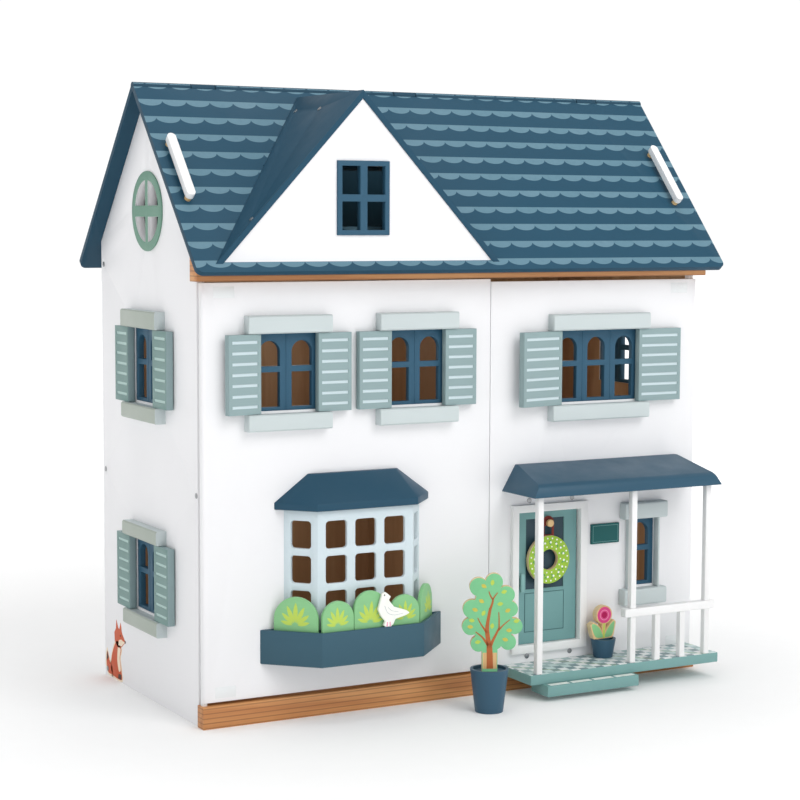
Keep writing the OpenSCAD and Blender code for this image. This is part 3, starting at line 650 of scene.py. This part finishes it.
on_dove = front(DOVE_LO.x + 12.5, TROUGH_Z, DOVE_LO.y)
printed("dove_eye", [circle2(-5.2, 53.6, 0.8, 14)], on_dove, (0, -1, 0), BLACK, "left_front",
        "white_paint")
printed("dove_wing", [stroke2(smooth_line([(-5, 42), (-1, 34), (7, 31), (18, 32)]), 0.5, 0.3),
                      stroke2(smooth_line([(-1, 40), (4, 36), (12, 34)]), 0.4, 0.3)],
        on_dove, (0, -1, 0), GREY_LINE, "left_front", "white_paint")
printed("dove_feet", [stroke2([(-2, 19.2), (-1.4, 24)], 1.5, 1.1),
                      stroke2([(2, 19.2), (1.6, 24)], 1.5, 1.1)],
        on_dove, (0, -1, 0), PINK_PALE, "left_front", "white_paint")

# A sitting fox on the side wall, drawn in flat shapes
on_wall = lambda u, v: (-HOUSE_HW, 111 - u, v)
fox = [
    ("fox_edge", FOX_CREAM, 0.06, [
        smooth_line([(-13, 1), (19, 1), (19, 14), (15, 28), (19, 40), (4, 50), (-8, 41), (-17, 24),
                     (-19, 10), (-13, 1)]),
        smooth_line([(-10, 1), (-27, 2), (-35, 15), (-30, 33), (-22, 22), (-12, 14), (-10, 1)])]),
    ("fox_body", FOX_RED, 0.14, [
        smooth_line([(-11, 3), (17, 3), (17, 14), (13, 28), (17, 40), (4, 47), (-6, 39), (-15, 24),
                     (-17, 10), (-11, 3)]),
        smooth_line([(-12, 4), (-26, 4), (-32, 15), (-29, 29), (-22, 19), (-13, 12), (-12, 4)]),
        [(-5, 56), (-4, 46), (6, 40), (18, 42), (31, 50), (21, 58), (19, 61), (16, 71), (11, 62),
         (8, 63), (2, 72), (0, 61)]]),
    ("fox_light", FOX_CREAM, 0.2, [
        smooth_line([(6, 40), (15, 39), (12, 28), (15, 15), (9, 12), (4, 24), (6, 40)]),
        [(8, 43), (18, 43), (29, 49.5), (17, 51), (10, 49)]]),
    ("fox_marks", FOX_DARK, 0.26, [
        circle2(30.2, 50.3, 1.6, 16), circle2(15, 55, 1.2, 16), [(-31.5, 17), (-29, 29), (-24.6, 22)],
        [(6, 3), (17, 3), (17, 9), (8, 9)]])]
for name, mat, lift, shapes in fox:
    printed(name, shapes, on_wall, (-1, 0, 0), mat, "house", "white_paint", lift)

# ---------------------------------------------------------------- porch prints

printed("step_tiles", [[(x, -218.3), (x + 26, -218.3), (x + 26, -210.6), (x, -210.6)]
                       for x in (STEP_LO.x + 5, STEP_LO.x + 34.8, STEP_LO.x + 64.6, STEP_LO.x + 94.4)],
        lambda u, v: (u, v, STEP_HI.z), (0, 0, 1), PRINT_WHITE, "right_front", "teal_paint")
sw, sh = SIGN_HI.x - SIGN_LO.x, SIGN_HI.z - SIGN_LO.z
edge, thin = 2.0, 0.5
printed("sign_border", [[(a, b), (c, b), (c, d), (a, d)] for a, b, c, d in (
    (edge, edge, sw - edge, edge + thin), (edge, sh - edge - thin, sw - edge, sh - edge),
    (edge, edge + thin, edge + thin, sh - edge - thin),
    (sw - edge - thin, edge + thin, sw - edge, sh - edge - thin))],
    front(SIGN_LO.x, SIGN_LO.z, SIGN_LO.y), (0, -1, 0), SIGN_LINE, "right_front", "teal_paint")

# ---------------------------------------------------------------- wreath, plants

WREATH_C = Vector(((WREATH_LO.x + WREATH_HI.x) / 2, 0, WREATH_LO.z + 28))


def wreath_face(c, n, k):
    r = math.hypot(c.x - WREATH_C.x, c.z - WREATH_C.z)
    if r > 28.3:
        return 2
    return 0 if abs(n.y) > 0.7 else 1


softened("wreath", [WREATH_FACE, PLY_Y, RIBBON], 0.5, wreath_face)
on_wreath = front(WREATH_C.x, WREATH_C.z, WREATH_LO.y)
rings = [(15.2, 14, 0.9, 0.0), (20.2, 16, 1.3, 0.3), (24.9, 24, 1.0, 0.1)]
dots = [circle2(r * cos(2 * pi * i / n + p), r * sin(2 * pi * i / n + p), w, 14)
        for r, n, w, p in rings for i in range(n)]
leaves = [leaf2(r * cos(a), r * sin(a), 4.0, 1.9, math.degrees(a) + t)
          for r, n, t in ((17.4, 11, 50), (22.4, 15, 120))
          for a in (2 * pi * (i + 0.5) / n for i in range(n))]
printed("wreath_dots", dots, on_wreath, (0, -1, 0), PRINT_WHITE, "hanging_wreath", "wreath_leaf", 0.14)
printed("wreath_leaves", leaves, on_wreath, (0, -1, 0), PRINT_GREEN, "hanging_wreath", "wreath_leaf")


def tree_face(c, n, k):
    if c.z < 48.5 and math.hypot(c.x - TREE_AT[0], c.y - TREE_AT[1]) > 9 or c.z < 45.5:
        return 0
    return 1 if n.z < 0.5 and abs(n.y) > 0.75 else 2


softened("potted_tree", [POT, CROWN, PLY_Y], 0.8, tree_face)
on_tree, tree_out = turned(TREE_AT[0], TREE_AT[1], 48, TREE_TURN, 4.0)
printed("trunk_board", [[(-7.8, 0.2), (7.8, 0.2), (7.8, 18), (-7.8, 18)]], on_tree, tree_out, NATURAL,
        "tree", "plant", 0.08)
branches = [
    ([(0.2, 0.3), (0, 12), (-0.4, 25)], 7.2, 6.2),
    ([(-0.4, 24), (-3, 41), (-2.4, 52), (0.4, 68)], 5.6, 2.8),
    ([(0.4, 67), (2.4, 73), (3.4, 79)], 2.6, 1.8), ([(3, 77), (0, 82), (-1.4, 86.2)], 1.8, 0.8),
    ([(3.4, 78), (6, 82), (8.4, 84.8)], 1.7, 0.8),
    ([(-1.6, 26), (-5, 31), (-9, 36), (-15.8, 41.4)], 3.4, 1.0),
    ([(-3.4, 40), (-6.6, 45), (-10, 50), (-13.6, 57)], 2.6, 0.9),
    ([(1, 26), (3, 31), (6, 37), (10.2, 45.6)], 3.6, 2.0),
    ([(10, 45), (10, 54), (9.6, 63.2)], 1.8, 0.8), ([(9.6, 43), (15, 49), (22, 54.8)], 1.9, 0.8)]
printed("tree_branches", [stroke2(smooth_line(p), a, b) for p, a, b in branches], on_tree, tree_out, BARK,
        "tree", "plant", 0.16)
leaf_at = [(2.4, 95.8, 80), (-6.8, 92, 150), (15.2, 85.6, 20), (-9.4, 75.4, 150), (11, 72.2, 10),
           (-16.4, 65.8, 160), (-7.2, 62, 60), (19.4, 64.8, 30), (-20, 54, 170), (-21.6, 47, 175),
           (2.4, 47.6, 80), (21, 42.8, 0), (29, 53, 10), (16.8, 32.6, -15), (-13.2, 30, 190)]
for name, mat, start in (("tree_leaves_a", LEAF_YELLOW, 0), ("tree_leaves_b", LEAF_OLIVE, 1)):
    printed(name, [leaf2(u - 3.2 * cos(radians(a)), v - 3.2 * sin(radians(a)), 6.6, 4.2, a)
                   for u, v, a in leaf_at[start::2]], on_tree, tree_out, mat, "tree", "plant", 0.22)

softened("flower_pot", [POT, PLY_Y, NATURAL], 0.6,
         lambda c, n, k: 0 if c.z < DECK_HI.z + 22.3 else (1 if abs(n.y) < 0.7 else 2))
on_flower = front(FLOWER_AT[0], DECK_HI.z + 18.5, FLOWER_AT[1] - 4)
flower = [
    ("flower_leaves", LEAF_PALE, 0.06, [
        smooth_line([(-1.5, 5), (-9, 5.4), (-13.2, 9), (-17, 20), (-13.8, 22), (-6.4, 17),
                     (-1.5, 8), (-1.5, 5)]),
        smooth_line([(2, 5), (9, 5.4), (12.6, 9), (15, 20.5), (13.4, 22.8), (7.6, 17.6),
                     (2, 9), (2, 5)])]),
    ("flower_stem", LEAF_YELLOW, 0.12, [[(-1.1, 4.2), (1.3, 4.2), (1.4, 22), (-0.6, 22)]]),
    ("flower_disc", PINK, 0.16, [circle2(0.5, 31.5, 9.6, 40)]),
    ("flower_ring", PINK_PALE, 0.2, [circle2(0.5, 31.5, 6.2, 36)]),
    ("flower_inner", PINK, 0.24, [circle2(0.5, 31.5, 5.4, 36)]),
    ("flower_centre", MAGENTA, 0.28, [circle2(0.5, 31.5, 3.7, 30)])]
for name, mat, lift, shapes in flower:
    printed(name, shapes, on_flower, (0, -1, 0), mat, "pot", "pot_flower", lift)

# ---------------------------------------------------------------- stage, light, camera

def make_floor():
    bm = bmesh.new()
    bmesh.ops.create_grid(bm, x_segments=8, y_segments=8, size=14.0)
    s = Shade("floor_pale")
    speck = s.noise(40.0, 3.0)
    s.bump(speck, 0.02, 0.2)
    mat = s.finish(s.mix(speck, (0.90, 0.90, 0.90, 1), (0.92, 0.92, 0.92, 1)), 0.8, specular=0.0)
    x, y, z = s.xyz()
    away = s.math("SQRT", s.math("ADD", s.math("MULTIPLY", x, x), s.math("MULTIPLY", y, y)))
    s.put(s.bsdf.inputs["Emission Color"], (1.0, 1.0, 1.0, 1.0))
    s.put(s.bsdf.inputs["Emission Strength"], s.remap(away, 0.45, 3.0, 0.05, 0.62))
    floor = joined([bm], "floor", [mat])


def area_light(name, at, look, size, power):
    data = bpy.data.lights.new(name, "AREA")
    data.shape = "DISK"
    data.size = size
    data.energy = power
    lamp = bpy.data.objects.new(name, data)
    bpy.context.scene.collection.objects.link(lamp)
    lamp.location = at
    lamp.rotation_euler = (Vector(look) - Vector(at)).to_track_quat("-Z", "Y").to_euler()


def lamp_in_room(name, at, power):
    """A faint, slightly warm glow: stands in for daylight scattered inside a closed room."""
    data = bpy.data.lights.new(name, "POINT")
    data.energy = power
    data.color = (1.0, 0.95, 0.9)
    data.shadow_soft_size = 0.06
    lamp = bpy.data.objects.new(name, data)
    bpy.context.scene.collection.objects.link(lamp)
    lamp.location = at


def pale_studio():
    """White all round near the horizon, softer overhead."""
    world = bpy.data.worlds.new("studio")
    world.use_nodes = True
    tree = world.node_tree
    coord = tree.nodes.new("ShaderNodeTexCoord")
    split = tree.nodes.new("ShaderNodeSeparateXYZ")
    fade = tree.nodes.new("ShaderNodeMapRange")
    tree.links.new(coord.outputs["Generated"], split.inputs[0])
    tree.links.new(split.outputs[2], fade.inputs["Value"])
    fade.inputs["From Min"].default_value = 0.16
    fade.inputs["From Max"].default_value = 0.34
    fade.inputs["To Min"].default_value = 1.03
    fade.inputs["To Max"].default_value = 0.62
    back = tree.nodes["Background"]
    back.inputs[0].default_value = (1, 1, 1, 1)
    tree.links.new(fade.outputs[0], back.inputs[1])
    bpy.context.scene.world = world


make_floor()
area_light("key", (0.9, -3.2, 3.0), (0, 0, 0.3), 2.6, 61)
area_light("fill_left", (-3.6, -1.4, 2.2), (0, 0, 0.3), 3.0, 4)
area_light("top", (0.0, 0.6, 4.2), (0, 0, 0.3), 3.2, 46)
for n, at in enumerate([(-0.14, -0.02, 0.19), (0.17, -0.06, 0.19), (-0.14, -0.02, 0.43),
                        (0.17, -0.06, 0.43), (0.0, 0.0, 0.57)]):
    lamp_in_room(f"room_{n}", at, 0.16)
pale_studio()
bpy.context.scene.view_settings.view_transform = "Standard"

# The camera of the photograph, fitted to the house's own edges
CAMERA_AT = Vector((-1.1300, -2.0497, 0.5393))
YAW, PITCH, ROLL = radians(28.81), radians(5.22), radians(0.205)
ahead = Vector((sin(YAW) * cos(PITCH), cos(YAW) * cos(PITCH), -sin(PITCH)))
right = Vector((cos(YAW), -sin(YAW), 0))
up = right.cross(ahead)
right_r = right * cos(ROLL) + up * sin(ROLL)
up_r = up * cos(ROLL) - right * sin(ROLL)
turn = Matrix((right_r, up_r, -ahead)).transposed().to_4x4()
cam_data = bpy.data.cameras.new("photo_camera")
cam_data.sensor_width = 36.0
cam_data.lens = 89.11
cam_data.clip_end = 60.0
camera = bpy.data.objects.new("photo_camera", cam_data)
bpy.context.scene.collection.objects.link(camera)
camera.matrix_world = Matrix.Translation(CAMERA_AT) @ turn
bpy.context.scene.camera = camera
